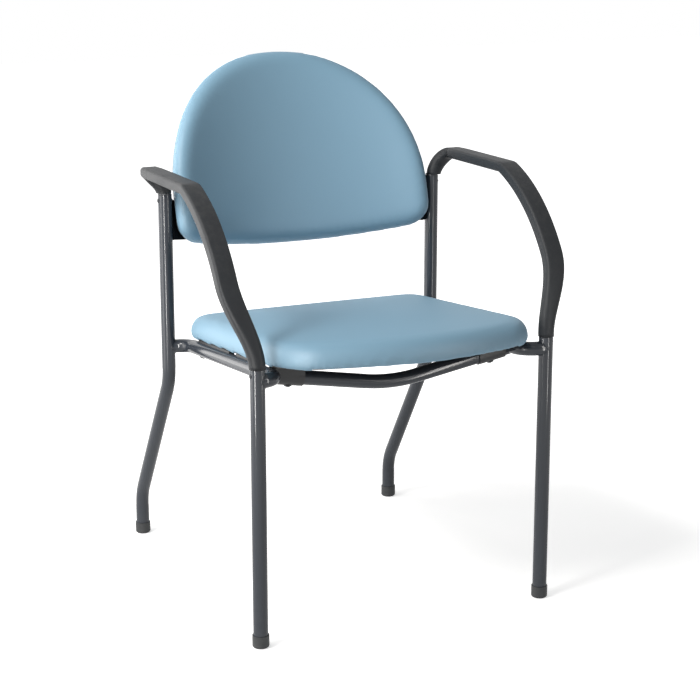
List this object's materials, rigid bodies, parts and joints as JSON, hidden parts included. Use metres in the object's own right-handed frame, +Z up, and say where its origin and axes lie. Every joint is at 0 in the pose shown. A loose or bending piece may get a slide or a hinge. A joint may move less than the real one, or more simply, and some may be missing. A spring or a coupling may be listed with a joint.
{
  "type": "upholstered guest armchair",
  "caption": "Guest armchair on a painted round-tube frame with raked rear legs, a vinyl seat, a vinyl D-shaped curved back and moulded loop arms.",
  "frame": {"origin": "centre of the footprint box, on the floor", "axes": "+X to the viewer's right of someone facing the chair's front, -Y forward out of the chair, +Z up"},
  "size_m": [0.5638, 0.6406, 0.8233],
  "materials": {
    "frame_paint": "dark grey metallic powder coat, semi-gloss",
    "bracket_paint": "black powder coat, satin",
    "foot_rubber": "matt black rubber",
    "black_nylon": "moulded black nylon, fine matt",
    "black_screw": "black coated steel",
    "zinc": "zinc plated steel",
    "core_steel": "blackened steel",
    "plywood": "unfinished plywood",
    "vinyl": "light blue upholstery vinyl, fine grain, satin",
    "arm_urethane": "self-skinned charcoal urethane, matt"
  },
  "bodies": {
    "root": {"front_leg_L": "frame_paint", "rear_leg_L": "frame_paint", "front_leg_R": "frame_paint", "rear_leg_R": "frame_paint", "foot_cap_FL": "foot_rubber", "foot_cap_FR": "foot_rubber", "foot_cap_RL": "foot_rubber", "foot_cap_RR": "foot_rubber", "side_rail_L": "frame_paint", "side_rail_R": "frame_paint", "front_cross_tube": "frame_paint", "rear_cross_tube": "frame_paint", "front_saddle_L": "black_nylon", "rear_rail_pad_L": "black_nylon", "front_rail_pad_L": "black_nylon", "front_saddle_R": "black_nylon", "rear_rail_pad_R": "black_nylon", "front_rail_pad_R": "black_nylon", "seat_pan": "black_nylon", "seat_screws": "black_screw", "seat_cushion": "vinyl", "back_bracket_L": "bracket_paint", "back_bracket_R": "bracket_paint", "back_shell": "black_nylon", "back_board": "plywood", "back_tee_nuts": "zinc", "back_screws": "black_screw", "back_cushion": "vinyl", "arm_core_L": "core_steel", "arm_pad_L": "arm_urethane", "arm_core_R": "core_steel", "arm_pad_R": "arm_urethane", "arm_front_screws": "black_screw", "arm_rear_screws": "black_screw"}
  },
  "joints": []
}
